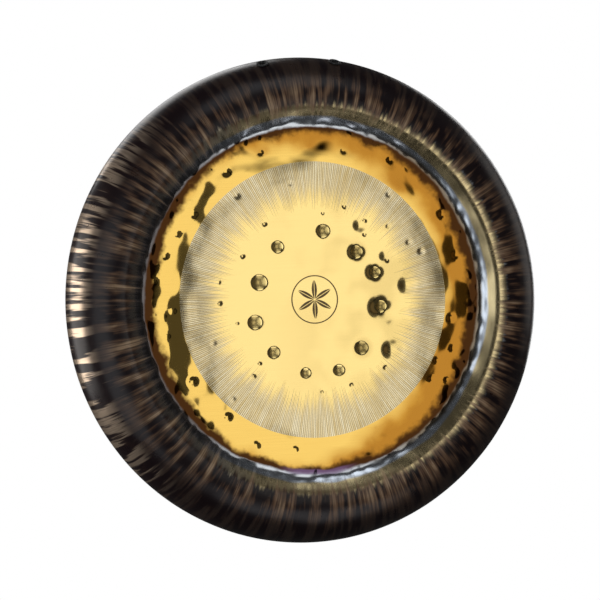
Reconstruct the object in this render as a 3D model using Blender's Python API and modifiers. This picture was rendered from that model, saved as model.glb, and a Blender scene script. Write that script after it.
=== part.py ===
"""Tam tam gong: one hammered sheet with a turned rim, and two rubber grommets in its hanging holes.

Units are metres. +Z is up and the struck face looks along -Y. The origin lies midway between the
centres of the two hanging holes, where the cord carries the gong.

The pieces are drawn in the gong's own frame, whose +Z is the gong's axis towards the player, with
zero at the crest of the bow, and whose +Y is the gong's top. One empty turns them upright.
"""

import math

import bpy
from mathutils import Matrix, Vector

# Overall sizes.
GONG_DIAMETER = 0.610  # the widest circle, on the turned rim
GONG_DEPTH = 0.070  # from the crest of the bow to the back lip
SHEET_THICKNESS = 0.0018

# The section of the sheet, from the middle of the face outwards.
FACE_DOME = 0.006  # the middle of the face stands this high over the valley around it
COVE_WIDTH = 0.027  # from the valley out to the crest of the bow
COVE_RISE = 0.008  # from the valley forward to the crest
BOW_WIDTH = 0.059  # from the crest out to the widest circle
BOW_FALL = 0.054  # from the crest back to the widest circle
LIP_TUCK = 0.004  # the back lip is turned in by this much from the widest circle

# The hanging holes.
HOLE_DIAMETER = 0.012
HOLE_SPACING = 0.094  # between the centres of the two holes
HOLE_SETBACK = 0.031  # from the crest back to the centres of the holes

# The grommets.
GROMMET_WALL = 0.0012  # rubber between the cord and the edge of the hole
FLANGE_REACH = 0.0020  # a flange covers this much of the sheet around the hole
FLANGE_THICKNESS = 0.0016
MOUTH_ROUNDING = 0.0014  # the bore opens out at both ends by this radius
FIT_GAP = 0.0003

# How finely the round shapes are divided.
DISC_STEPS = 72
FACE_POINTS = 5
COVE_POINTS = 5
BOW_POINTS = 10
SKIRT_POINTS = 2
GROMMET_STEPS = 24
RIM_ARC_POINTS = 4
MOUTH_ARC_POINTS = 3

MERGE_DISTANCE = 0.00001

# Sizes that follow from the ones above.
RIM_RADIUS = GONG_DIAMETER / 2
CREST_RADIUS = RIM_RADIUS - BOW_WIDTH
VALLEY_RADIUS = CREST_RADIUS - COVE_WIDTH
SKIRT_DEPTH = GONG_DEPTH - BOW_FALL


def clear_scene():
    for thing in list(bpy.data.objects):
        bpy.data.objects.remove(thing, do_unlink=True)


def new_collection(name):
    collection = bpy.data.collections.new(name)
    bpy.context.scene.collection.children.link(collection)
    return collection


def new_material(name, colour, roughness, metallic):
    material = bpy.data.materials.new(name)
    material.use_nodes = True
    shader = material.node_tree.nodes["Principled BSDF"]
    shader.inputs["Base Color"].default_value = (*colour, 1.0)
    shader.inputs["Roughness"].default_value = roughness
    shader.inputs["Metallic"].default_value = metallic
    material.diffuse_color = (*colour, 1.0)
    return material


def raised_cosine(share):
    """1 at share 0 and 0 at share 1, level at both ends."""
    return (1 + math.cos(math.pi * share)) / 2


def bow_angle(setback):
    """The angle of the bow's quarter ellipse at a distance behind the crest: 0 at the crest."""
    return math.acos(1 - setback / BOW_FALL)


def bow_point(angle):
    """Radius and height of the bow's outer surface."""
    return CREST_RADIUS + BOW_WIDTH * math.sin(angle), BOW_FALL * (math.cos(angle) - 1)


def bow_normal(angle):
    """The bow's outward normal, as its share along the radius and its share along the axis."""
    along_radius = BOW_FALL * math.sin(angle)
    along_axis = BOW_WIDTH * math.cos(angle)
    length = math.hypot(along_radius, along_axis)
    return along_radius / length, along_axis / length


def bow_curve_radius(angle):
    """The radius of curvature of the bow's section."""
    tangent = math.hypot(BOW_WIDTH * math.cos(angle), BOW_FALL * math.sin(angle))
    return tangent**3 / (BOW_WIDTH * BOW_FALL)


def outer_section():
    """The sheet's front and outer surface as (radius, height), from the axis to the back lip."""
    points = [(0.0, FACE_DOME - COVE_RISE)]
    for i in range(1, FACE_POINTS + 1):
        share = i / FACE_POINTS
        points.append((VALLEY_RADIUS * share, FACE_DOME * raised_cosine(share) - COVE_RISE))
    for i in range(1, COVE_POINTS + 1):
        share = i / COVE_POINTS
        points.append((VALLEY_RADIUS + COVE_WIDTH * share, -COVE_RISE * raised_cosine(share)))
    for i in range(1, BOW_POINTS + 1):
        points.append(bow_point(math.pi / 2 * i / BOW_POINTS))
    for i in range(1, SKIRT_POINTS + 1):
        share = i / SKIRT_POINTS
        points.append((RIM_RADIUS - LIP_TUCK * share**2, -BOW_FALL - SKIRT_DEPTH * share))
    return points


def inner_section(outer):
    """The sheet's back surface, one thickness under the outer one, from the axis to the lip."""
    points = [(0.0, outer[0][1] - SHEET_THICKNESS)]
    for before, here, after in zip(outer, outer[1:], outer[2:]):
        run = Vector((after[0] - before[0], after[1] - before[1])).normalized()
        points.append((here[0] + run.y * SHEET_THICKNESS, here[1] - run.x * SHEET_THICKNESS))
    lip_radius, lip_height = outer[-1]
    points.append((lip_radius - SHEET_THICKNESS, lip_height))
    return points


def turned(name, points, closed, steps, material, collection):
    """A solid made by turning (radius, height) points about Z. They run down the outer side first."""
    edges = [(i, i + 1) for i in range(len(points) - 1)]
    if closed:
        edges.append((len(points) - 1, 0))
    mesh = bpy.data.meshes.new(name)
    mesh.from_pydata([(radius, 0.0, height) for radius, height in points], edges, [])
    piece = bpy.data.objects.new(name, mesh)
    collection.objects.link(piece)
    screw = piece.modifiers.new("turn", "SCREW")
    screw.axis = "Z"
    screw.angle = 2 * math.pi
    screw.steps = steps
    screw.render_steps = steps
    screw.use_merge_vertices = True
    screw.merge_threshold = MERGE_DISTANCE
    screw.use_smooth_shade = True
    mesh.materials.append(material)
    return piece


def hole_place(side):
    """Where a hanging hole is, as a matrix whose +Z points out of the sheet. side is -1 or 1."""
    angle = bow_angle(HOLE_SETBACK)
    radius, height = bow_point(angle)
    out, forward = bow_normal(angle)
    across = side * HOLE_SPACING / 2
    up = math.sqrt(radius**2 - across**2)
    radial = Vector((across, up, 0.0)) / radius
    normal = radial * out + Vector((0.0, 0.0, forward))
    turn = Vector((0.0, 0.0, 1.0)).rotation_difference(normal).to_matrix().to_4x4()
    return Matrix.Translation((across, up, height)) @ turn


def hole_cutter(name, side, collection, frame):
    bpy.ops.mesh.primitive_cylinder_add(
        vertices=GROMMET_STEPS,
        radius=HOLE_DIAMETER / 2,
        depth=HOLE_DIAMETER * 2,
    )
    cutter = bpy.context.active_object
    cutter.name = name
    for other in list(cutter.users_collection):
        other.objects.unlink(cutter)
    collection.objects.link(cutter)
    cutter.parent = frame
    cutter.matrix_local = hole_place(side)
    cutter.hide_render = True
    cutter.display_type = "WIRE"
    return cutter


def make_disc(material, collection, cutters, frame):
    outer = outer_section()
    inner = inner_section(outer)
    inner.reverse()
    disc = turned("gong_disc", outer + inner, False, DISC_STEPS, material, collection)
    disc.parent = frame
    for cutter in cutters:
        cut = disc.modifiers.new(cutter.name, "BOOLEAN")
        cut.operation = "DIFFERENCE"
        cut.solver = "EXACT"
        cut.object = cutter
    return disc


def arc(centre, radius, start, end, pieces):
    """Points of an arc from one angle to another, in degrees."""
    points = []
    for i in range(pieces + 1):
        angle = math.radians(start + (end - start) * i / pieces)
        points.append(
            (centre[0] + radius * math.cos(angle), centre[1] + radius * math.sin(angle))
        )
    return points


def facet_depth():
    """The most that the disc's flat facets lie under its true round surface at the holes."""
    around = RIM_RADIUS * (1 - math.cos(math.pi / DISC_STEPS))
    step = math.pi / 2 / BOW_POINTS
    along = bow_curve_radius(bow_angle(HOLE_SETBACK)) * (1 - math.cos(step / 2))
    return around + along


def grommet_section():
    """A grommet's section as (radius, height). Height 0 is the sheet's outer surface at the hole."""
    groove = HOLE_DIAMETER / 2 - FIT_GAP
    bore = groove - GROMMET_WALL
    flange = HOLE_DIAMETER / 2 + FLANGE_REACH
    half = FLANGE_THICKNESS / 2
    # The sheet curves away from the flat flanges, and the inner flange clears it at its edge.
    fall = flange**2 / (2 * bow_curve_radius(bow_angle(HOLE_SETBACK))) + facet_depth()
    outer_under = FIT_GAP
    inner_top = -SHEET_THICKNESS - fall - FIT_GAP
    top = outer_under + FLANGE_THICKNESS
    bottom = inner_top - FLANGE_THICKNESS
    mouth = bore + MOUTH_ROUNDING
    points = arc((mouth, top - MOUTH_ROUNDING), MOUTH_ROUNDING, 180, 90, MOUTH_ARC_POINTS)
    points += arc((flange - half, outer_under + half), half, 90, -90, RIM_ARC_POINTS)
    points += [(groove, outer_under), (groove, inner_top)]
    points += arc((flange - half, inner_top - half), half, 90, -90, RIM_ARC_POINTS)
    points += arc((mouth, bottom + MOUTH_ROUNDING), MOUTH_ROUNDING, 270, 180, MOUTH_ARC_POINTS)
    return points


def make_grommet(name, side, material, collection, frame):
    grommet = turned(name, grommet_section(), True, GROMMET_STEPS, material, collection)
    grommet.parent = frame
    grommet.matrix_local = hole_place(side)
    return grommet


def make_frame(collection):
    """An empty that stands the gong upright, with the origin midway between the holes."""
    frame = bpy.data.objects.new("gong_frame", None)
    collection.objects.link(frame)
    holes_up = hole_place(1).translation.y
    frame.matrix_world = Matrix.Translation((0.0, -HOLE_SETBACK, -holes_up)) @ Matrix.Rotation(
        math.radians(90), 4, "X"
    )
    return frame


def main():
    clear_scene()
    parts = new_collection("tam_tam_gong")
    cutters = new_collection("cutters")
    bronze = new_material("bronze_sheet", (0.62, 0.44, 0.16), 0.3, 1.0)
    rubber = new_material("black_rubber", (0.02, 0.02, 0.02), 0.6, 0.0)
    frame = make_frame(parts)
    hole_left = hole_cutter("hole_left", -1, cutters, frame)
    hole_right = hole_cutter("hole_right", 1, cutters, frame)
    make_disc(bronze, parts, [hole_left, hole_right], frame)
    make_grommet("grommet_left", -1, rubber, parts, frame)
    make_grommet("grommet_right", 1, rubber, parts, frame)
    bpy.context.view_layer.update()


main()
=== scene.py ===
"""The looks of a hung tam tam gong: one hammered bronze sheet and the two grommets in its hanging holes."""

import logging
import math
from dataclasses import dataclass, field, replace
from enum import Enum
from typing import Any, Iterable, Sequence

import bmesh
import bpy
import numpy as np
from mathutils import Matrix, Vector


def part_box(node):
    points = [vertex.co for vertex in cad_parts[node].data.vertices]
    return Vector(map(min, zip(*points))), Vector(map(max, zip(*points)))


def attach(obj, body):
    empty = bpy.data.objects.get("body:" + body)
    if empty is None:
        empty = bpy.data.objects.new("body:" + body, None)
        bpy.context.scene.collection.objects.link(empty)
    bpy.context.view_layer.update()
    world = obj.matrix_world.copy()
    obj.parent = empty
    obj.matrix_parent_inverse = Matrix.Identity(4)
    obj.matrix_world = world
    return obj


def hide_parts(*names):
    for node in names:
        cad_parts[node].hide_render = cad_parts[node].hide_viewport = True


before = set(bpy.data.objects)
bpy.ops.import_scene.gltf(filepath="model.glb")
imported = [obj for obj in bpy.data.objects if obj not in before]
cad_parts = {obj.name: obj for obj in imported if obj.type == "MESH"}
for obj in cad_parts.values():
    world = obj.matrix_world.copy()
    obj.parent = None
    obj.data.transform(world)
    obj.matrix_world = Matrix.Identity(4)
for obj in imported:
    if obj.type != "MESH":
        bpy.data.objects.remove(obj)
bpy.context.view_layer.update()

BODY = "root"
LOG = logging.getLogger("gong")
MM = 0.001
HOLE_ASIDE = 0.047  # from the middle to each hanging hole
HOLE_OUTWARD = Vector((0.1396, -0.457, 0.878))  # square to the sheet at the right hole

Colour = tuple[float, float, float]
Number = float | int
Point = tuple[float, float]


def paint(red: int, green: int, blue: int) -> Colour:
    """Turns a colour in screen values from 0 to 255 into linear light.

    Args:
        red: Red, 0 to 255.
        green: Green, 0 to 255.
        blue: Blue, 0 to 255.

    Returns:
        The linear colour, each part from 0 to 1.
    """
    parts = []
    for value in (red, green, blue):
        share = value / 255
        parts.append(share / 12.92 if share <= 0.04045 else ((share + 0.055) / 1.055) ** 2.4)
    return (parts[0], parts[1], parts[2])


# ---------------------------------------------------------------- shader maths


class Value:
    """A shader socket that can stand in a sum."""

    def __init__(self, shader: "Shader", socket: bpy.types.NodeSocket) -> None:
        """Keeps the socket and the shader that it belongs to."""
        self.shader = shader
        self.socket = socket

    def __add__(self, other: "Value | Number") -> "Value":
        """Returns self + other."""
        return self.shader.math("ADD", self, other)

    def __radd__(self, other: Number) -> "Value":
        """Returns other + self."""
        return self.shader.math("ADD", other, self)

    def __sub__(self, other: "Value | Number") -> "Value":
        """Returns self - other."""
        return self.shader.math("SUBTRACT", self, other)

    def __rsub__(self, other: Number) -> "Value":
        """Returns other - self."""
        return self.shader.math("SUBTRACT", other, self)

    def __mul__(self, other: "Value | Number") -> "Value":
        """Returns self * other."""
        return self.shader.math("MULTIPLY", self, other)

    def __rmul__(self, other: Number) -> "Value":
        """Returns other * self."""
        return self.shader.math("MULTIPLY", other, self)

    def __truediv__(self, other: "Value | Number") -> "Value":
        """Returns self / other."""
        return self.shader.math("DIVIDE", self, other)

    def __pow__(self, other: Number) -> "Value":
        """Returns self to the power of other."""
        return self.shader.math("POWER", self, other)


Input = Value | Number | Sequence[float] | None


class Shader:
    """Builds the nodes of one material or of the surroundings."""

    def __init__(self, owner: bpy.types.Material | bpy.types.World) -> None:
        """Clears the nodes of a material or of the surroundings."""
        self.owner = owner
        self.owner.use_nodes = True
        self.tree = self.owner.node_tree
        self.tree.nodes.clear()

    @classmethod
    def material(cls, name: str) -> "Shader":
        """Starts an empty material of that name."""
        return cls(bpy.data.materials.new(name))

    def node(self, kind: str, settings: dict[str, Any] | None = None,
             sockets: dict[str | int, Input] | None = None, output: str | int = 0) -> Value:
        """Adds a node, sets it up and fills its sockets.

        Args:
            kind: The node's type.
            settings: Its settings, made before the sockets are filled.
            sockets: A value or link for each named or numbered input.
            output: The name or number of the output that is returned.

        Returns:
            The chosen output.
        """
        node = self.tree.nodes.new(kind)
        for key, setting in (settings or {}).items():
            setattr(node, key, setting)
        for key, given in (sockets or {}).items():
            socket = node.inputs[key]
            if isinstance(given, Value):
                self.tree.links.new(given.socket, socket)
            elif given is not None:
                colour = socket.type == "RGBA" and len(given) == 3
                socket.default_value = (*given, 1.0) if colour else given
        return Value(self, node.outputs[output])

    def math(self, operation: str, first: "Value | Number", second: "Value | Number" = 0.0,
             third: "Value | Number" = 0.0, clamp: bool = False) -> Value:
        """Adds one Math node.

        Args:
            operation: The operation.
            first: Its first value.
            second: Its second value.
            third: Its third value.
            clamp: Whether the result stays from 0 to 1.

        Returns:
            The result.
        """
        settings = {"operation": operation, "use_clamp": clamp}
        return self.node("ShaderNodeMath", settings, {0: first, 1: second, 2: third})

    def step(self, value: Value, low: "Value | Number", high: "Value | Number") -> Value:
        """Rises smoothly from 0 at low to 1 at high; low above high makes it fall.

        Args:
            value: What is looked at.
            low: Where the step is 0.
            high: Where the step is 1.

        Returns:
            The step, 0 to 1.
        """
        sockets = {"Value": value, "From Min": low, "From Max": high}
        return self.node("ShaderNodeMapRange", {"interpolation_type": "SMOOTHSTEP"}, sockets)

    def band(self, value: Value, low: Number, high: Number, soft: Number) -> Value:
        """Is 1 between low and high and fades over soft outside them.

        Args:
            value: What is looked at.
            low: Start of the band.
            high: End of the band.
            soft: Width of each fade.

        Returns:
            The band, 0 to 1.
        """
        return self.step(value, low - soft, low) * self.step(value, high + soft, high)

    def mix(self, share: "Value | Number", first: Input, second: Input) -> Value:
        """Mixes two colours.

        Args:
            share: How much of the second colour shows.
            first: The first colour.
            second: The second colour.

        Returns:
            The mixed colour.
        """
        settings = {"data_type": "RGBA"}
        return self.node("ShaderNodeMix", settings, {0: share, 6: first, 7: second}, 2)

    def vector(self, x: "Value | Number", y: "Value | Number", z: "Value | Number") -> Value:
        """Makes a vector of three numbers."""
        return self.node("ShaderNodeCombineXYZ", None, {0: x, 1: y, 2: z})

    def split(self, vector: Value) -> tuple[Value, Value, Value]:
        """Parts a vector into its three numbers."""
        parts = self.node("ShaderNodeSeparateXYZ", None, {0: vector}).socket.node.outputs
        return Value(self, parts[0]), Value(self, parts[1]), Value(self, parts[2])

    def noise(self, vector: Value, scale: Number, detail: Number = 2.0, roughness: Number = 0.5) -> Value:
        """Adds a noise pattern.

        Args:
            vector: Where it is read.
            scale: How many lumps to a unit.
            detail: How many finer layers it has.
            roughness: How strong the finer layers are.

        Returns:
            The noise, about 0.5 on average.
        """
        sockets = {"Vector": vector, "Scale": scale, "Detail": detail, "Roughness": roughness}
        return self.node("ShaderNodeTexNoise", None, sockets)

    def finish(self, constants: dict[str, Input], varied: dict[str, Value],
               height: Value | None = None) -> bpy.types.Material:
        """Adds the surface shader and the output.

        Args:
            constants: Sockets that are the same all over.
            varied: Sockets that a pattern feeds.
            height: Fine relief in millimetres, or none.

        Returns:
            The finished material.
        """
        sockets: dict[str | int, Input] = {**constants, **varied}
        if height is not None:
            relief = {"Height": height, "Distance": MM, "Strength": 1.0}
            sockets["Normal"] = self.node("ShaderNodeBump", None, relief)
        self.join(self.node("ShaderNodeBsdfPrincipled", None, sockets))
        return self.owner

    def join(self, surface: Value, kind: str = "ShaderNodeOutputMaterial") -> None:
        """Joins a surface to an output node of that kind."""
        output = self.tree.nodes.new(kind)
        self.tree.links.new(surface.socket, output.inputs["Surface"])


class Polar:
    """Where a point of the gong lies, in millimetres and turns, and places to read patterns at."""

    def __init__(self, shader: Shader, centre: Vector) -> None:
        """Reads the point's place.

        Args:
            shader: The shader that it is read in.
            centre: The middle of the gong's front.
        """
        self.shader = shader
        place = shader.node("ShaderNodeTexCoord", None, None, "Object")
        moved = shader.node("ShaderNodeMapping", None, {"Vector": place, "Location": -centre})
        across, depth, up = shader.split(moved)
        self.across, self.depth, self.up = across * 1000.0, depth * 1000.0, up * 1000.0
        self.radius = (self.across * self.across + self.up * self.up) ** 0.5
        self.turn = shader.math("ARCTAN2", self.across, self.up) / math.tau

    def along(self, round_scale: Number, out_scale: Number, shift: Number = 0.0) -> Value:
        """A place for patterns that are drawn out along the radius.

        Args:
            round_scale: Radius of the ring on which the pattern is read, in its own units.
            out_scale: Units of the pattern to a millimetre of radius.
            shift: Moves the pattern, so that two of them differ.

        Returns:
            The vector.
        """
        safe = self.shader.math("MAXIMUM", self.radius, 0.01)
        out = self.radius + self.depth * 0.8
        return self.shader.vector(self.across / safe * round_scale, self.up / safe * round_scale,
                                  out * out_scale + shift)

    def flat(self, x_scale: Number, z_scale: Number) -> Value:
        """A place for patterns that lie flat on the face, in units to a millimetre."""
        return self.shader.vector(self.across * x_scale, self.depth * x_scale, self.up * z_scale)


# ---------------------------------------------------------------- hammer marks


CAP_SHARE = 0.25  # depth of a round cap to its width, at a steepness of 1
SOFT_SHARE = 0.33  # the same for a soft hollow


class Falloff(Enum):
    """How a hammer blow spreads: a round cap with a crisp edge, or a soft hollow."""

    CAP = "INVERSE_SQUARE"
    SOFT = "SMOOTH"


@dataclass(frozen=True)
class Dent:
    """One hammer mark. Its place is a clock angle in degrees and a radius; sizes in millimetres."""

    clock: float
    radius: float
    width: float
    steep: float = 0.45
    falloff: Falloff = Falloff.SOFT

    def depth(self) -> float:
        """How deep the mark goes, in metres."""
        share = CAP_SHARE if self.falloff is Falloff.CAP else SOFT_SHARE
        return self.width * self.steep * share * MM

    def place(self, centre: Vector) -> Vector:
        """Where the mark lies on the plane of the face."""
        turn = math.radians(self.clock)
        return centre + Vector((math.sin(turn), 0.0, math.cos(turn))) * self.radius * MM


# -------------------------------------------------------------------- finishes


@dataclass(frozen=True)
class Rosette:
    """A six-petalled compass rosette, etched in the middle of the face. Sizes in millimetres."""

    reach: float = 25.0
    ring: float = 29.5
    ring_width: float = 1.3

    def mask(self, shader: Shader, polar: Polar) -> Value:
        """Draws the rosette.

        Args:
            shader: The face's shader.
            polar: Where the point lies.

        Returns:
            1 on the etched metal and 0 beside it.
        """
        sixth = shader.math("PINGPONG", polar.turn * 6.0 + 60.0, 0.5) * (math.tau / 6)
        along = polar.radius * shader.math("COSINE", sixth)
        beside = polar.radius * shader.math("SINE", sixth)
        from_x = along - self.reach / 2
        from_y = beside + self.reach * math.sin(math.pi / 3)
        far = (from_x * from_x + from_y * from_y) ** 0.5
        petal = shader.step(far, self.reach + 0.3, self.reach - 0.5)
        vein = shader.step(beside, 0.25, 0.7)
        gap = shader.math("ABSOLUTE", polar.radius - self.ring)
        ring = shader.step(gap, self.ring_width / 2 + 0.3, self.ring_width / 2 - 0.3)
        return shader.math("MAXIMUM", petal * vein, ring)


@dataclass(frozen=True)
class Fringe:
    """Fine lines engraved along the radius, even outside and ragged inside. Radii in millimetres."""

    outer: float = 172.0
    inner: float = 110.0
    ragged: float = 15.0
    lines: int = 460

    def masks(self, shader: Shader, polar: Polar) -> tuple[Value, Value, Value]:
        """Draws the lines.

        Args:
            shader: The face's shader.
            polar: Where the point lies.

        Returns:
            The satin zone, the engraved lines in it, and a fine scratch pattern.
        """
        place = polar.turn * float(self.lines) + float(self.lines)
        index = shader.math("FLOOR", place)
        across = shader.math("ABSOLUTE", shader.math("FRACT", place) - 0.5)
        chance = shader.node("ShaderNodeTexWhiteNoise", {"noise_dimensions": "1D"}, {"W": index}, "Value")
        tufts = shader.noise(polar.along(7.0, 0.0), 1.0, 1.0)
        end = chance * self.ragged + (tufts - 0.5) * 22.0 + self.inner
        out = polar.radius - end
        taper = shader.step(out, 0.0, 22.0) * 0.22 + 0.08
        line = shader.step(across, taper, taper - 0.1) * shader.step(out, -0.4, 0.8)
        rim = shader.step(polar.radius, self.outer + 0.35, self.outer - 0.35)
        zone = shader.step(out, 2.0, 30.0) * rim
        scratch = shader.noise(polar.along(190.0, 0.02), 1.0, 2.0, 0.6)
        return zone, line * rim, scratch


@dataclass(frozen=True)
class FrontFinish:
    """The player's side: brushed face, engraved fringe, polished ring, heat-tinted cove and fired bow, with
    painted shade and a painted reflection on parts of them.
    """

    centre: Vector
    name: str = "hammered_bronze_front"
    rosette: Rosette = field(default_factory=Rosette)
    fringe: Fringe = field(default_factory=Fringe)
    face_gold: Colour = paint(252, 224, 148)
    satin_light: Colour = paint(255, 250, 226)
    satin_dark: Colour = paint(216, 194, 146)
    groove: Colour = paint(150, 128, 84)
    ring_gold: Colour = paint(246, 208, 112)
    # the ring's amber and brown stain are real tarnish that also carries painted shade
    ring_amber_and_shade: Colour = paint(196, 142, 54)
    stain_and_shade_brown: Colour = paint(172, 116, 40)
    burnt_and_shade: Colour = paint(66, 40, 18)
    steel: Colour = paint(206, 212, 220)
    # pale straw: heat tint and a painted reflection of the crest
    straw_tint_and_sheen: Colour = paint(212, 192, 146)
    # olive for painted shade on the inner cove at the right
    cove_shade_olive: Colour = paint(104, 84, 44)
    # olive for painted shade in and around the hammer dents and over the right of the face
    dent_shade_olive: Colour = paint(150, 124, 62)
    # near black for painted shade on the left of the cove
    cove_shade_black: Colour = (0.045, 0.026, 0.018)
    violet: Colour = paint(110, 86, 120)
    etched: Colour = paint(120, 100, 70)
    oxide_dark: Colour = (0.010, 0.005, 0.006)
    oxide_brown: Colour = (0.165, 0.088, 0.048)
    oxide_pale: Colour = (0.42, 0.29, 0.175)
    oxide_bare: Colour = (0.50, 0.39, 0.29)
    brushed: Colour = paint(238, 206, 128)
    amber_span: tuple[float, float] = (184.0, 212.0)
    stain_span: tuple[float, float] = (198.0, 216.0)
    burn_span: tuple[float, float] = (203.0, 214.0)
    cove_span: tuple[float, float] = (214.5, 218.5)
    bow_span: tuple[float, float] = (234.0, 248.0)
    dents: tuple[Dent, ...] = ()

    def make(self) -> bpy.types.Material:
        """Builds the finish.

        Returns:
            The material.
        """
        shader = Shader.material(self.name)
        polar = Polar(shader, self.centre)
        radius = polar.radius
        drift = shader.noise(polar.flat(0.018, 0.018), 1.0, 2.0)
        satin, line, scratch = self.fringe.masks(shader, polar)
        mark = self.rosette.mask(shader, polar)

        brush = shader.noise(polar.flat(0.012, 1.6), 1.0, 3.0, 0.6)
        colour = shader.mix(brush * 0.5, self.face_gold, self.brushed)
        tone = shader.step(scratch, 0.35, 0.68)
        fringe = shader.mix(tone, self.satin_dark, self.satin_light)
        colour = shader.mix(satin * 0.75, colour, fringe)
        colour = shader.mix(line * 0.6, colour, self.groove)

        # Painted shade: olive darkening inside the large dents, a halo of it around them on the right side,
        # and soft clouds of it over the right part of the face.
        near = self.struck(shader, polar)
        inside = shader.step(near, 1.02, 0.72)
        halo = shader.step(near, 2.1, 0.9) * shader.step(polar.across, 20.0, 70.0)
        shade_cloud = shader.step(drift, 0.44, 0.66) * shader.step(polar.across, -90.0, 60.0)
        shade = shader.math("MAXIMUM", halo * 0.30 + inside * 0.30, shade_cloud * 0.20)
        colour = shader.mix(shade, colour, self.dent_shade_olive)
        outside = shader.step(radius, self.fringe.outer - 0.3, self.fringe.outer + 0.3)
        safe = shader.math("MAXIMUM", radius, 1.0)
        side, rise = polar.across / safe, polar.up / safe
        # Painted shade: this lean pushes the amber and the brown stain further in towards the right, the
        # lower right and the top, and less far on the left; the rest of both is real tarnish.
        shade_lean = side * 22.0 + rise * 8.0 + shader.math("MAXIMUM", side - rise - 0.9, 0.0) * 44.0
        amber_and_shade = shader.step(radius + (drift - 0.5) * 44.0 + shade_lean, *self.amber_span)
        ring = shader.mix(amber_and_shade, self.ring_gold, self.ring_amber_and_shade)
        blots = shader.noise(polar.flat(0.05, 0.05), 1.0, 3.0, 0.55)
        ring = shader.mix(brush * 0.35, ring, self.ring_amber_and_shade)
        uneven = (drift - 0.5) * 62.0 + (blots - 0.5) * 26.0
        stain_and_shade = shader.step(radius + uneven + shade_lean, *self.stain_span)
        ring = shader.mix(stain_and_shade * 0.75, ring, self.stain_and_shade_brown)
        # Burnt outer edge of the ring, reaching further in at the left and the right as painted shade.
        burn_and_shade = shader.step(radius + (blots - 0.5) * 26.0 + (1 - rise * rise) * 7.0, *self.burn_span)
        ring = shader.mix(burn_and_shade, ring, self.burnt_and_shade)
        colour = shader.mix(outside, colour, ring)
        colour = shader.mix(mark, colour, self.etched)

        cove = shader.step(radius + (blots - 0.5) * 7.0, *self.cove_span)
        tint = shader.band(radius + (drift - 0.5) * 12.0, 213.0, 217.0, 3.0)
        # Painted shade: the left of the cove is painted nearly black.
        left = shader.step(side + (drift - 0.5) * 0.5, -0.25, -0.8)
        steel = shader.mix(left * 0.85, self.steel, self.cove_shade_black)
        # Painted shade: olive over the inner edge of the cove on the right side.
        inner = shader.step(radius + (blots - 0.5) * 6.0, 224.0, 219.0)
        inner = inner * shader.step(side, 0.15, 0.65)
        steel = shader.mix(inner * 0.85, steel, self.cove_shade_olive)
        colour = shader.mix(cove, colour, steel)
        low = shader.step(polar.up, -150.0, -195.0) * shader.band(polar.across, -28.0, 22.0, 30.0)
        colour = shader.mix(tint * low * 0.8, colour, self.violet)
        # Straw heat tint over the crest, partly a painted reflection of the crest, and taken out on the
        # left as painted shade.
        straw_tint_and_sheen = shader.band(radius + (drift - 0.5) * 8.0, 230.0, 250.0, 3.5)
        colour = shader.mix(straw_tint_and_sheen * (1 - left * 0.9), colour, self.straw_tint_and_sheen)

        oxide, fingers, bare = self.bow(shader, polar)
        colour = shader.mix(fingers, colour, oxide)

        rough_face = brush * 0.06 + 0.08
        rough = rough_face + satin * 0.09 + mark * 0.35 + inside * 0.27
        rough = self.blend(rough, outside, blots * 0.05 + 0.035)
        rough = self.blend(rough, cove, 0.13 + blots * 0.1)
        rough = self.blend(rough, fingers, 0.22 + blots * 0.16)
        metal = 1 - fingers * (1 - bare * 0.85) - mark * 0.35

        grain = shader.noise(polar.flat(0.9, 0.9), 1.0, 2.0)
        height = brush * 0.010 * (1 - outside)
        height = height - line * 0.02 + scratch * satin * 0.008 - mark * 0.08
        height = height + grain * fingers * 0.03
        varied = {"Base Color": colour, "Roughness": rough, "Metallic": metal}
        constants = {"IOR": 1.45, "Specular IOR Level": 0.3}
        return shader.finish(constants, varied, height)

    def struck(self, shader: Shader, polar: Polar) -> Value:
        """Finds the nearest large hammer mark.

        Args:
            shader: The front's shader.
            polar: Where the point lies.

        Returns:
            0 in the middle of a mark and 1 at its edge.
        """
        here = shader.vector(polar.across, 0.0, polar.up)
        nearest: Value | float = 9.0
        for dent in self.dents:
            spot = dent.place(Vector()) / MM
            ends = {0: here, 1: tuple(spot)}
            gap = shader.node("ShaderNodeVectorMath", {"operation": "DISTANCE"}, ends, "Value")
            nearest = shader.math("MINIMUM", gap / (dent.width / 2), nearest)
        return nearest

    @staticmethod
    def blend(first: Value, share: Value, second: "Value | Number") -> Value:
        """Mixes two numbers."""
        return first * (1 - share) + share * second

    def bow(self, shader: Shader, polar: Polar) -> tuple[Value, Value, Value]:
        """Draws the fired oxide of the bow with its streaks.

        Args:
            shader: The front's shader.
            polar: Where the point lies.

        Returns:
            The oxide's colour, how much of it covers the metal, and how bare the metal is in it.
        """
        wide = shader.noise(polar.along(27.0, 0.009, 3.0), 1.0, 1.0, 0.5)
        fine = shader.noise(polar.along(64.0, 0.011, 9.0), 1.0, 2.5, 0.6)
        block = shader.noise(polar.along(30.0, 0.040, 5.0), 1.0, 1.0, 0.5)
        out = polar.radius + polar.depth * 0.8
        side = polar.across / shader.math("MAXIMUM", polar.radius, 1.0)
        rise = polar.up / shader.math("MAXIMUM", polar.radius, 1.0)
        ends = (fine - 0.5) * 20.0 + (wide - 0.5) * 12.0 - side * 6.0 + rise * rise * 2.5
        fingers = shader.step(out + ends, *self.bow_span)
        thin = shader.noise(polar.along(140.0, 0.012, 2.0), 1.0, 1.0, 0.5)
        streak = wide * 0.42 + fine * 0.28 + block * 0.30
        gap = shader.step(streak, 0.45, 0.55)
        fade = 1 - shader.step(out, 252.0, 300.0) * 0.90
        lines = shader.step(thin, 0.36, 0.60) * 0.65 + 0.35
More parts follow.
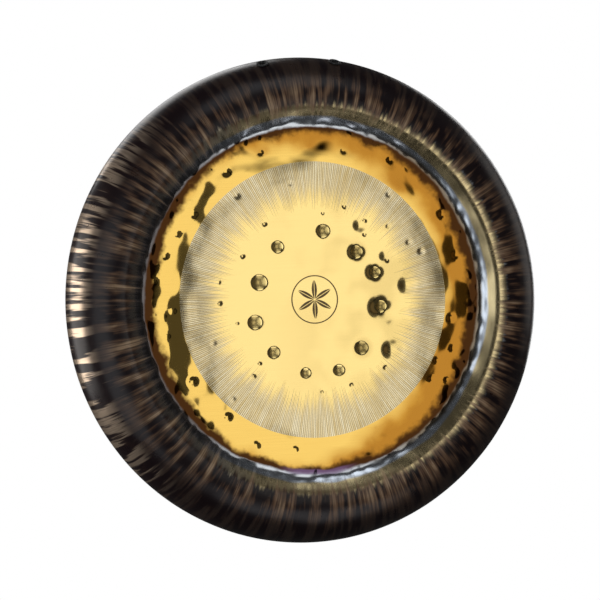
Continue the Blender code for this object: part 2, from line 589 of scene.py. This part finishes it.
        # Painted shade: the brown streaks of the bow are darker towards the left.
        left_shade = shader.step(side, -0.9, 0.2) * 0.35 + 0.65
        oxide = shader.mix(gap * lines * fade * left_shade, self.oxide_dark, self.oxide_brown)
        pale = shader.step(streak, 0.53, 0.64) * lines * shader.step(out + ends * 0.6, 288.0, 250.0)
        oxide = shader.mix(pale * 0.8, oxide, self.oxide_pale)
        leftward = shader.step(side + (wide - 0.5) * 0.5, -0.55, -0.95)
        worn = shader.step(out, 286.0, 316.0) * leftward * 0.95 + 0.03
        bare = shader.step(wide * 0.55 + fine * 0.45, 0.47, 0.55) * worn
        oxide = shader.mix(bare, oxide, self.oxide_bare)
        return oxide, fingers, bare


@dataclass(frozen=True)
class BackFinish:
    """The back of the sheet: fired brown with soft rings and hammer spots."""

    centre: Vector
    name: str = "fired_bronze_back"
    dark: Colour = (0.040, 0.024, 0.016)
    brown: Colour = (0.27, 0.165, 0.090)
    bare: Colour = paint(182, 146, 86)

    def make(self) -> bpy.types.Material:
        """Builds the finish.

        Returns:
            The material.
        """
        shader = Shader.material(self.name)
        polar = Polar(shader, self.centre)
        cloud = shader.noise(polar.flat(0.016, 0.016), 1.0, 4.0, 0.6)
        far = shader.step(polar.radius, 70.0, 200.0)
        ray = shader.noise(polar.along(34.0, 0.012), 1.0, 2.0)
        streak = shader.noise(polar.along(80.0, 0.012, 4.0), 1.0, 2.0)
        rings = shader.noise(shader.vector(polar.radius * 0.35, 0.0, cloud * 2.0), 1.0, 2.0)
        turned = shader.noise(shader.vector(polar.radius * 1.6, 0.0, cloud * 1.5), 1.0, 1.0)
        rays = (ray * 0.6 + streak * 0.4 - 0.5) * far
        tone = cloud * 0.65 + rings * 0.2 + turned * 0.15 + rays * 0.8
        colour = shader.mix(shader.step(tone, 0.36, 0.64), self.dark, self.brown)
        cells = {"Vector": polar.flat(0.03, 0.03), "Scale": 1.0, "Randomness": 0.8}
        spot = shader.node("ShaderNodeTexVoronoi", None, cells, "Distance")
        blow = shader.step(spot, 0.34, 0.12) * shader.step(polar.radius, 214.0, 196.0)
        colour = shader.mix(blow * 0.30, colour, self.bare)
        worn = shader.step(cloud + rings * 0.3, 0.62, 0.90) * shader.step(polar.radius, 224.0, 180.0)
        colour = shader.mix(worn * 0.45, colour, self.bare)
        rough = cloud * 0.22 + 0.26 - blow * 0.06
        grain = shader.noise(polar.flat(0.8, 0.8), 1.0, 2.0)
        varied = {"Base Color": colour, "Roughness": rough, "Metallic": worn * 0.4 + blow * 0.2 + 0.35}
        return shader.finish({"IOR": 1.5}, varied, grain * 0.08 + turned * 0.05 - blow * 0.25)


@dataclass(frozen=True)
class RubberFinish:
    """Black moulded rubber."""

    name: str = "moulded_rubber"
    black: Colour = (0.014, 0.014, 0.015)
    dusty: Colour = (0.05, 0.048, 0.045)

    def make(self) -> bpy.types.Material:
        """Builds the finish.

        Returns:
            The material.
        """
        shader = Shader.material(self.name)
        place = shader.node("ShaderNodeTexCoord", None, None, "Object")
        dust = shader.noise(place, 260.0, 3.0)
        grain = shader.noise(place, 2600.0, 2.0)
        colour = shader.mix(shader.step(dust, 0.45, 0.75), self.black, self.dusty)
        varied = {"Base Color": colour, "Roughness": dust * 0.2 + 0.42}
        return shader.finish({"IOR": 1.5}, varied, grain * 0.03)


# ------------------------------------------------------------------ modelling


class Bench:
    """The steps that every piece is modelled with."""

    @staticmethod
    def free() -> None:
        """Leaves edit mode and deselects everything."""
        if bpy.context.object and bpy.context.object.mode != "OBJECT":
            bpy.ops.object.mode_set(mode="OBJECT")
        bpy.ops.object.select_all(action="DESELECT")

    @staticmethod
    def pick(piece: bpy.types.Object) -> None:
        """Makes one piece the active and only selected one."""
        Bench.free()
        piece.select_set(True)
        bpy.context.view_layer.objects.active = piece

    @staticmethod
    def turned(name: str, section: Sequence[Vector], centre: Vector, axis: Vector,
               steps: int) -> bpy.types.Object:
        """Turns a section round an axis, as on a lathe.

        Args:
            name: The piece's name.
            section: The points of the section, in order.
            centre: A point on the axis.
            axis: The axis.
            steps: How many steps a full turn has.

        Returns:
            The piece, with its doubles merged and its faces pointing outwards.
        """
        Bench.free()
        bpy.ops.mesh.primitive_plane_add(size=MM, location=section[0])
        piece = bpy.context.object
        piece.name = piece.data.name = name
        bpy.ops.object.transform_apply(location=True, rotation=True, scale=True)
        bpy.ops.object.mode_set(mode="EDIT")
        bpy.ops.mesh.select_all(action="SELECT")
        bpy.ops.mesh.merge(type="CENTER")
        for start, end in zip(section, section[1:]):
            bpy.ops.mesh.extrude_region_move(TRANSFORM_OT_translate={"value": end - start})
        bpy.ops.mesh.select_all(action="SELECT")
        bpy.ops.mesh.spin(steps=steps, angle=math.tau, center=centre, axis=axis)
        bpy.ops.mesh.select_all(action="SELECT")
        bpy.ops.mesh.remove_doubles(threshold=0.00002)
        bpy.ops.mesh.normals_make_consistent(inside=False)
        bpy.ops.object.mode_set(mode="OBJECT")
        return piece

    @staticmethod
    def modifier(piece: bpy.types.Object, kind: str, **settings: Any) -> None:
        """Adds a modifier and applies it.

        Args:
            piece: The piece.
            kind: The modifier's type.
            **settings: Its settings.
        """
        Bench.pick(piece)
        bpy.ops.object.modifier_add(type=kind)
        modifier = piece.modifiers[-1]
        for key, setting in settings.items():
            setattr(modifier, key, setting)
        bpy.ops.object.modifier_apply(modifier=modifier.name)

    @staticmethod
    def scrap(piece: bpy.types.Object) -> None:
        """Deletes a tool such as a cutter."""
        Bench.pick(piece)
        bpy.ops.object.delete()

    @staticmethod
    def smooth(piece: bpy.types.Object, degrees: float) -> None:
        """Shades a piece smoothly except across edges sharper than that angle."""
        Bench.pick(piece)
        bpy.ops.object.shade_smooth_by_angle(angle=math.radians(degrees))


@dataclass
class HangingHole:
    """One hole in the bow's crown and its grommet. The outward direction is square to the sheet."""

    node: str
    place: Vector
    outward: Vector
    radius: float = 0.006

    def turn(self) -> Matrix:
        """The matrix that puts a piece made along +Z at the hole."""
        return Matrix.Translation(self.place) @ self.outward.to_track_quat("Z", "Y").to_matrix().to_4x4()


@dataclass
class GongSheet:
    """The gong itself: one sheet with a slightly domed face, a cove, a bow and a tucked lip. Metres."""

    low: Vector
    high: Vector
    holes: list[HangingHole]
    thickness: float = 0.0018
    face_radius: float = 0.214
    face_dome: float = 0.006
    dome_flatness: float = 2.5
    cove_width: float = 0.032
    cove_rise: float = 0.011
    bow_width: float = 0.059
    bow_fall: float = 0.054
    lip_tuck: float = 0.004
    steps: int = 480
    cutter_length: float = 0.03
    spread: float = 1.7
    spread_steep: float = 0.09
    small_steep: float = 0.36
    ring_steep: float = 0.34
    main_dents: tuple[Dent, ...] = (
        Dent(10, 86, 17, 0.6), Dent(45, 81, 16, 0.5), Dent(69, 86, 14, 0.5), Dent(98, 87, 15, 0.5),
        Dent(137, 86, 17, 0.6), Dent(163, 94, 14, 0.6), Dent(190, 93, 13, 0.6), Dent(221, 84, 15, 0.6),
        Dent(252, 82, 18, 0.6), Dent(289, 74, 20, 0.6), Dent(326, 81, 15, 0.6),
    )
    halos: tuple[Dent, ...] = (
        Dent(98, 87, 44, 0.20, Falloff.SOFT), Dent(69, 86, 34, 0.20, Falloff.SOFT),
        Dent(45, 81, 32, 0.16, Falloff.SOFT), Dent(124, 120, 36, 0.17, Falloff.SOFT),
        Dent(84, 122, 30, 0.13, Falloff.SOFT), Dent(35, 111, 26, 0.15, Falloff.SOFT),
        Dent(104, 108, 40, 0.12, Falloff.SOFT), Dent(62, 108, 24, 0.14, Falloff.SOFT),
    )
    small_dents: tuple[tuple[int, int, int], ...] = (
        (8, 108, 6), (21, 122, 7), (36, 118, 7), (39, 163, 8), (41, 104, 7), (49, 132, 7), (62, 142, 8),
        (65, 107, 6), (69, 151, 9), (135, 127, 8), (158, 117, 7), (178, 116, 6), (222, 123, 7),
        (223, 161, 7), (224, 106, 7), (250, 141, 7), (256, 104, 6), (270, 122, 8), (282, 125, 6),
        (302, 107, 8), (325, 162, 9), (328, 113, 8), (350, 148, 6),
    )
    ring_dents: tuple[tuple[int, int, int], ...] = (
        (60, 200, 11), (76, 194, 12), (100, 181, 12), (111, 192, 10), (118, 178, 9), (122, 201, 10),
        (125, 182, 9), (220, 183, 14), (239, 186, 16), (259, 192, 10), (266, 193, 10), (268, 180, 9),
        (278, 205, 11), (288, 197, 12), (297, 193, 10), (307, 186, 12), (327, 193, 12),
        (205, 196, 10), (190, 188, 9), (342, 196, 10), (14, 190, 9), (32, 203, 10),
    )

    def __post_init__(self) -> None:
        """Works out the middle of the front and the depth from the node's box."""
        self.centre = Vector(((self.low.x + self.high.x) / 2, self.low.y, (self.low.z + self.high.z) / 2))
        self.depth = self.high.y - self.low.y

    # ---- section

    def front_points(self) -> list[Point]:
        """The front of the section from the middle to the lip.

        Returns:
            Radius and distance behind the crest of each point.
        """
        points = []
        spans = ((0.0, 0.060, 0.0045), (0.060, 0.126, 0.0013), (0.126, self.face_radius, 0.0024))
        for radius in self.stations(spans):
            share = (radius / self.face_radius) ** self.dome_flatness
            dome = self.face_dome * (1 + math.cos(math.pi * share)) / 2
            points.append((radius, self.cove_rise - dome))
        for share in np.linspace(0, 1, 21)[:-1]:
            radius = self.face_radius + self.cove_width * share
            points.append((radius, self.cove_rise * (1 - self.climb(share))))
        start = self.face_radius + self.cove_width
        for angle in np.linspace(0, math.pi / 2, 25)[:-1]:
            radius = start + self.bow_width * math.sin(angle)
            points.append((radius, self.bow_fall * (1 - math.cos(angle))))
        skirt = self.depth - self.bow_fall
        for share in np.linspace(0, 1, 6):
            radius = start + self.bow_width - self.lip_tuck * share**2
            points.append((radius, self.bow_fall + skirt * share))
        return points

    @staticmethod
    def climb(share: float, bend: float = 0.27) -> float:
        """How far the cove has climbed: a straight slope with a round bend at each end.

        Args:
            share: How far across the cove, 0 to 1.
            bend: The width of each bend.

        Returns:
            The climb, 0 to 1.
        """
        if share > 0.5:
            return 1 - GongSheet.climb(1 - share, bend)
        slope = 1 / (1 - bend)
        return slope * share**2 / (2 * bend) if share < bend else slope * (share - bend / 2)

    @staticmethod
    def stations(spans: Iterable[tuple[float, float, float]]) -> list[float]:
        """Radii over some spans.

        Args:
            spans: Start, end and wished-for spacing of each span.

        Returns:
            The radii, without the last span's end.
        """
        radii: list[float] = []
        for start, end, spacing in spans:
            count = round((end - start) / spacing)
            radii.extend(float(r) for r in np.linspace(start, end, count + 1)[:-1])
        return radii

    def back_points(self, front: list[Point]) -> list[Point]:
        """The back of the section from the lip to the middle, one sheet thickness behind the front.

        Args:
            front: The front of the section.

        Returns:
            Radius and distance behind the crest of each point.
        """
        line = np.array(front)
        slope = np.gradient(line, axis=0)
        slope /= np.linalg.norm(slope, axis=1)[:, None]
        behind = line + np.stack([-slope[:, 1], slope[:, 0]], axis=1) * self.thickness
        behind[0, 0] = 0.0
        kept = [0]
        for index in range(1, len(line)):
            gap = np.linalg.norm(line[index] - line[kept[-1]])
            wished = 0.0042 if 0.06 < line[index, 0] < 0.13 else 0.0095
            if gap > (wished if line[index, 0] < 0.22 else 0.0065) or index == len(line) - 1:
                kept.append(index)
        return [(float(behind[i, 0]), float(behind[i, 1])) for i in reversed(kept)]

    def lip_points(self, outer: Point, inner: Point) -> list[Point]:
        """The rounded edge of the lip.

        Args:
            outer: The front's last point.
            inner: The back's first point.

        Returns:
            The points between them.
        """
        middle = ((outer[0] + inner[0]) / 2, (outer[1] + inner[1]) / 2)
        bulge = 0.0003
        return [(outer[0] * 0.8 + inner[0] * 0.2, middle[1] + bulge * 0.7), (middle[0], middle[1] + bulge),
                (outer[0] * 0.2 + inner[0] * 0.8, middle[1] + bulge * 0.7)]

    # ---- making

    def build(self) -> bpy.types.Object:
        """Turns, hammers and drills the sheet.

        Returns:
            The finished piece.
        """
        front = self.front_points()
        back = self.back_points(front)
        outline = front + self.lip_points(front[-1], back[0]) + back
        section = [self.centre + Vector((r, d, 0.0)) for r, d in outline]
        piece = Bench.turned("gong_sheet", section, self.centre, Vector((0, 1, 0)), self.steps)
        LOG.info("sheet turned: %d faces", len(piece.data.polygons))
        self.weigh(piece)
        self.wave(piece)
        self.hammer(piece)
        self.drill(piece)
        Bench.smooth(piece, 48)
        self.dress(piece)
        return piece

    def weigh(self, piece: bpy.types.Object) -> None:
        """Makes the groups that say where the sheet is uneven.

        Args:
            piece: The turned sheet.
        """
        count = len(piece.data.vertices)
        place = np.empty(count * 3)
        piece.data.vertices.foreach_get("co", place)
        place = place.reshape(-1, 3) - np.array(self.centre)
        radius = np.hypot(place[:, 0], place[:, 2]) / MM
        left = 0.5 - 0.5 * place[:, 0] / MM / np.maximum(radius, 1.0)
        ring = np.interp(radius, [150, 176, 200, 222, 236], [0.0, 0.75, 1.0, 0.9, 0.0])
        groups = {
            "ring": ring * (0.55 + 0.45 * left),
            "valley": np.interp(radius, [200, 211, 219, 227], [0.0, 1.0, 1.0, 0.0]),
            "bow": np.interp(radius, [226, 262, 305], [0.0, 1.0, 1.0]),
            "face": np.interp(radius, [0, 60, 150, 175], [0.3, 1.0, 1.0, 0.0]),
        }
        for name, weights in groups.items():
            group = piece.vertex_groups.new(name=name)
            levels = np.round(weights * 20).astype(int)
            for level in range(1, 21):
                members = np.nonzero(levels == level)[0]
                if len(members):
                    group.add([int(i) for i in members], level / 20, "REPLACE")

    def wave(self, piece: bpy.types.Object) -> None:
        """Gives the sheet its broad unevenness.

        Args:
            piece: The turned sheet.
        """
        waves = (("ring", 0.030, 0.0029, 0), ("face", 0.055, 0.0014, 0), ("bow", 0.045, 0.0018, 1),
                 ("ring", 0.014, 0.0004, 0), ("valley", 0.011, 0.0018, 0))
        for number, (group, size, strength, depth) in enumerate(waves):
            texture = bpy.data.textures.new(f"wave_{number}", type="CLOUDS")
            texture.noise_scale = size
            texture.noise_depth = depth
            texture.noise_basis = "IMPROVED_PERLIN"
            Bench.modifier(piece, "DISPLACE", texture=texture, texture_coords="LOCAL", direction="Y",
                           strength=strength, mid_level=0.5, vertex_group=group)
            bpy.data.textures.remove(texture)

    def marks(self) -> list[Dent]:
        """All the hammer marks.

        Returns:
            The marks, softest first.
        """
        marks = [replace(m, width=m.width * self.spread, steep=self.spread_steep) for m in self.main_dents]
        marks += self.halos
        marks += [replace(m, falloff=Falloff.CAP) for m in self.main_dents]
        marks += [Dent(c, r, w, self.small_steep) for c, r, w in self.small_dents]
        marks += [Dent(c, r, w, self.ring_steep) for c, r, w in self.ring_dents]
        return marks

    def hammer(self, piece: bpy.types.Object) -> None:
        """Strikes every hammer mark.

        Args:
            piece: The sheet.
        """
        Bench.pick(piece)
        bpy.ops.object.mode_set(mode="EDIT")
        bpy.ops.mesh.select_mode(type="VERT")
        mesh = bmesh.from_edit_mesh(piece.data)
        mesh.verts.ensure_lookup_table()
        place = np.array([v.co for v in mesh.verts])
        facing = np.array([v.normal.y for v in mesh.verts])
        for mark in self.marks():
            spot = mark.place(self.centre)
            gap = np.hypot(place[:, 0] - spot.x, place[:, 2] - spot.z) + (facing > 0) * 1.0
            bpy.ops.mesh.select_all(action="DESELECT")
            mesh = bmesh.from_edit_mesh(piece.data)
            mesh.verts.ensure_lookup_table()
            mesh.verts[int(gap.argmin())].select_set(True)
            mesh.select_flush_mode()
            bpy.ops.transform.translate(value=(0, mark.depth(), 0), use_proportional_edit=True,
                                        proportional_edit_falloff=mark.falloff.value,
                                        proportional_size=mark.width * MM / 2)
        bpy.ops.mesh.select_all(action="SELECT")
        bpy.ops.mesh.normals_make_consistent(inside=False)
        bpy.ops.object.mode_set(mode="OBJECT")
        LOG.info("hammer marks: %d", len(self.marks()))

    def drill(self, piece: bpy.types.Object) -> None:
        """Drills the hanging holes.

        Args:
            piece: The sheet.
        """
        for hole in self.holes:
            Bench.free()
            bpy.ops.mesh.primitive_cylinder_add(vertices=64, radius=hole.radius,
                                                depth=self.cutter_length)
            cutter = bpy.context.object
            cutter.matrix_world = hole.turn()
            Bench.modifier(piece, "BOOLEAN", operation="DIFFERENCE", solver="EXACT", object=cutter)
            Bench.scrap(cutter)

    def dress(self, piece: bpy.types.Object) -> None:
        """Gives the front and the back their finishes.

        Args:
            piece: The sheet.
        """
        piece.data.materials.clear()
        piece.data.materials.append(FrontFinish(self.centre, dents=self.main_dents).make())
        piece.data.materials.append(BackFinish(self.centre).make())
        crest = self.face_radius + self.cove_width
        for face in piece.data.polygons:
            away = face.center - self.centre
            radius = math.hypot(away.x, away.z)
            if radius < crest:
                behind = face.normal.y > 0
            else:
                out = (face.normal.x * away.x + face.normal.z * away.z) / radius
                behind = out * (radius - crest) + face.normal.y * (away.y - self.bow_fall) < 0
            face.material_index = 1 if behind else 0


@dataclass
class Grommet:
    """A rubber grommet in a hanging hole. Metres, along the hole."""

    hole: HangingHole
    groove: float = 0.0057
    bore: float = 0.0045
    flange: float = 0.0080
    top: float = 0.0019
    under: float = -0.0047
    plate: float = 0.0016
    mouth: float = 0.0014
    chamfer: float = 0.0004
    steps: int = 64

    def section(self) -> list[Vector]:
        """The grommet's section, closed.

        Returns:
            The points in the XZ plane, with the hole along Z.
        """
        half = self.plate / 2
        inside, upper, lower = self.groove + self.chamfer, self.top - self.plate, self.under + self.plate
        points: list[Point] = []
        points += self.bend(self.bore + self.mouth, self.top - self.mouth, self.mouth, 180, 90, 8)
        points += self.bend(self.flange - half, self.top - half, half, 90, -90, 12)
        points += [(inside, upper), (self.groove, upper - self.chamfer)]
        points += [(self.groove, lower + self.chamfer), (inside, lower)]
        points += self.bend(self.flange - half, self.under + half, half, 90, -90, 12)
        points += self.bend(self.bore + self.mouth, self.under + self.mouth, self.mouth, 270, 180, 8)
        points.append(points[0])
        return [Vector((r, 0.0, z)) for r, z in points]

    @staticmethod
    def bend(radius: float, height: float, size: float, start: float, end: float,
             count: int) -> list[Point]:
        """Points on an arc of the section.

        Args:
            radius: The arc's middle, from the axis.
            height: The arc's middle, along the axis.
            size: The arc's own radius.
            start: Where it starts, in degrees.
            end: Where it ends, in degrees.
            count: How many steps it has.

        Returns:
            The points.
        """
        turns = np.radians(np.linspace(start, end, count + 1))
        return [(radius + size * math.cos(t), height + size * math.sin(t)) for t in turns]

    def build(self) -> bpy.types.Object:
        """Turns the grommet and puts it in its hole.

        Returns:
            The finished piece.
        """
        name = f"{self.hole.node}_rubber"
        piece = Bench.turned(name, self.section(), Vector(), Vector((0, 0, 1)), self.steps)
        piece.matrix_world = self.hole.turn()
        bpy.ops.object.transform_apply(location=True, rotation=True, scale=True)
        Bench.smooth(piece, 40)
        piece.data.materials.clear()
        piece.data.materials.append(RubberFinish().make())
        return piece


# --------------------------------------------------------------------- studio


@dataclass(frozen=True)
class Panel:
    """A soft light panel, by the direction that it shines from. Angles in degrees, sizes in metres."""

    name: str
    azimuth: float
    elevation: float
    distance: float
    width: float
    height: float
    glow: float
    colour: Colour = (1.0, 1.0, 1.0)

    def place(self, target: Vector) -> Vector:
        """Where the panel stands."""
        turn, lift = math.radians(self.azimuth), math.radians(self.elevation)
        way = Vector((math.sin(turn) * math.cos(lift), -math.cos(turn) * math.cos(lift), math.sin(lift)))
        return target + way * self.distance

    def build(self, target: Vector) -> None:
        """Puts the panel up, facing the gong.

        Args:
            target: What it faces.
        """
        light = bpy.data.lights.new(self.name, type="AREA")
        light.shape = "RECTANGLE"
        light.size, light.size_y = self.width, self.height
        light.color = self.colour
        light.energy = self.glow * math.pi * self.width * self.height
        lamp = bpy.data.objects.new(self.name, light)
        bpy.context.scene.collection.objects.link(lamp)
        lamp.location = self.place(target)
        lamp.rotation_euler = (target - lamp.location).to_track_quat("-Z", "Y").to_euler()
        lamp.visible_camera = False


@dataclass
class Studio:
    """Camera, lights, floor and surroundings."""

    low: Vector
    high: Vector
    azimuth: float = -16.0
    roll: float = 2.5
    lens: float = 190.0
    sensor: float = 36.0
    width: float = 0.7505
    aim_right: float = -0.0112
    aim_up: float = 0.0001
    floor_drop: float = 0.36
    floor_radius: float = 2.6
    ambient: float = 0.16
    mirrored: float = 0.045
    panels: tuple[Panel, ...] = (
        Panel("side_panel", -42, -8, 2.2, 1.35, 2.5, 1.45, (0.92, 0.96, 1.0)),
        Panel("far_left_panel", -106, 0, 2.2, 1.7, 1.9, 3.7, (1.0, 0.96, 0.92)),
        Panel("top_panel", 10, 55, 2.2, 1.5, 0.9, 1.4, (0.92, 0.96, 1.0)),
        Panel("low_panel", 14, -52, 1.3, 1.0, 0.5, 1.6, (0.96, 0.97, 1.0)),
        Panel("right_fill", 44, 5, 2.4, 0.5, 1.6, 0.06, (1.0, 0.75, 0.5)),
        Panel("back_panel", 192, 38, 2.6, 1.8, 1.4, 2.4),
        Panel("back_fill", 140, 10, 2.6, 0.8, 1.6, 2.4),
        Panel("far_right_panel", 98, 12, 2.4, 1.2, 1.6, 0.9, (1.0, 0.96, 0.92)),
    )

    def build(self) -> None:
        """Sets up the whole studio."""
        self.middle = Vector(((self.low.x + self.high.x) / 2, 0.0, (self.low.z + self.high.z) / 2))
        self.camera()
        self.world()
        self.floor()
        self.front_panel()
        for panel in self.panels:
            panel.build(self.middle)
        view = bpy.context.scene.view_settings
        view.view_transform = "Standard"
        view.look = "None"

    def camera(self) -> None:
        """Places the camera a little to the left of the gong's front, rolled as it was held."""
        turn = math.radians(self.azimuth)
        right = Vector((math.cos(turn), math.sin(turn), 0.0))
        back = Vector((math.sin(turn), -math.cos(turn), 0.0))
        target = self.middle + right * self.aim_right + Vector((0, 0, self.aim_up))
        lens = bpy.data.cameras.new("camera")
        lens.lens, lens.sensor_width = self.lens, self.sensor
        lens.clip_start, lens.clip_end = 0.1, 100.0
        camera = bpy.data.objects.new("camera", lens)
        bpy.context.scene.collection.objects.link(camera)
        camera.location = target + back * (self.width * self.lens / self.sensor)
        level = (-back).to_track_quat("-Z", "Y").to_matrix()
        camera.rotation_euler = (level @ Matrix.Rotation(math.radians(-self.roll), 3, "Z")).to_euler()
        bpy.context.scene.camera = camera

    def world(self) -> None:
        """Makes the surroundings: white to look at, dim for soft light, dark in reflections."""
        world = bpy.data.worlds.new("studio")
        bpy.context.scene.world = world
        shader = Shader(world)
        world.cycles.sampling_method = "NONE"
        in_camera = shader.node("ShaderNodeLightPath", None, None, "Is Camera Ray")
        in_soft_light = shader.node("ShaderNodeLightPath", None, None, "Is Diffuse Ray")
        soft = shader.node("ShaderNodeMix", None, {0: in_soft_light, 2: self.mirrored, 3: self.ambient})
        seen = shader.node("ShaderNodeMix", None, {0: in_camera, 2: soft, 3: 1.0})
        ground = shader.node("ShaderNodeBackground", None, {"Color": (1.0, 1.0, 1.0), "Strength": seen})
        shader.join(ground, "ShaderNodeOutputWorld")

    def floor(self) -> None:
        """Lays a plain pale floor under the gong."""
        Bench.free()
        bpy.ops.mesh.primitive_circle_add(vertices=96, radius=self.floor_radius, fill_type="NGON",
                                          location=(0, 0, self.low.z - self.floor_drop))
        floor = bpy.context.object
        floor.name = "floor"
        shader = Shader.material("pale_floor")
        place = shader.node("ShaderNodeTexCoord", None, None, "Object")
        grain = shader.noise(place, 40.0, 3.0)
        colour = shader.mix(grain, (0.05, 0.05, 0.049), (0.06, 0.06, 0.059))
        constants = {"Roughness": 0.8, "Specular IOR Level": 0.0, "Emission Color": (1.0, 1.0, 0.99),
                     "Emission Strength": 0.72}
        floor.data.materials.append(shader.finish(constants, {"Base Color": colour}))
        floor.visible_diffuse = False
        floor.visible_glossy = False

    def front_panel(self) -> None:
        """Hangs the main panel that the face mirrors, bright in the middle and dim at its sides."""
        panel = Panel("front_panel", 13, 0, 2.4, 2.4, 2.0, 1.12, (1.0, 0.99, 0.96))
        Bench.free()
        bpy.ops.mesh.primitive_plane_add(size=1.0)
        sheet = bpy.context.object
        sheet.name = panel.name
        sheet.scale = (panel.width, panel.height, 1.0)
        sheet.location = panel.place(self.middle)
        sheet.rotation_euler = (self.middle - sheet.location).to_track_quat("Z", "Y").to_euler()
        shader = Shader.material("soft_panel_cloth")
        across, up, _ = shader.split(shader.node("ShaderNodeTexCoord", None, None, "Object"))
        across, up = across * -panel.width, up * panel.height
        wide = shader.step(across, -0.47, -0.43) * shader.step(across, 0.745, 0.69)
        shelf = shader.step(across, -1.15, -0.9) * shader.step(across, 1.15, 0.9) * 0.07
        tall = shader.step(up, -0.98, -0.78) * shader.step(up, 0.98, 0.60)
        shape = shader.math("MAXIMUM", wide, shelf) * tall
        glow = shader.node("ShaderNodeEmission", None, {"Color": panel.colour, "Strength": panel.glow})
        shader.join(shader.node("ShaderNodeMixShader", None, {0: shape, 2: glow}))
        sheet.data.materials.append(shader.owner)
        sheet.visible_camera = False
        sheet.visible_shadow = False


# ----------------------------------------------------------------------- main


def main() -> None:
    """Builds the gong and its studio, and reports each piece."""
    logging.basicConfig(level=logging.INFO, format="%(name)s: %(message)s")
    low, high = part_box("gong_disc")
    low, high = Vector(low), Vector(high)
    Studio(low, high).build()
    holes = []
    for node, side in (("grommet_left", -1), ("grommet_right", 1)):
        outward = Vector((side * HOLE_OUTWARD.x, HOLE_OUTWARD.y, HOLE_OUTWARD.z)).normalized()
        holes.append(HangingHole(node, Vector((side * HOLE_ASIDE, 0.0, 0.0)), outward))
    sheet = GongSheet(low, high, holes).build()
    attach(sheet, BODY)
    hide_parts("gong_disc")
    LOG.info("gong_sheet: %d faces", len(sheet.data.polygons))
    for hole in holes:
        grommet = Grommet(hole).build()
        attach(grommet, BODY)
        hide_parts(hole.node)
        LOG.info("%s: %d faces", grommet.name, len(grommet.data.polygons))


if __name__ == "__main__":
    main()
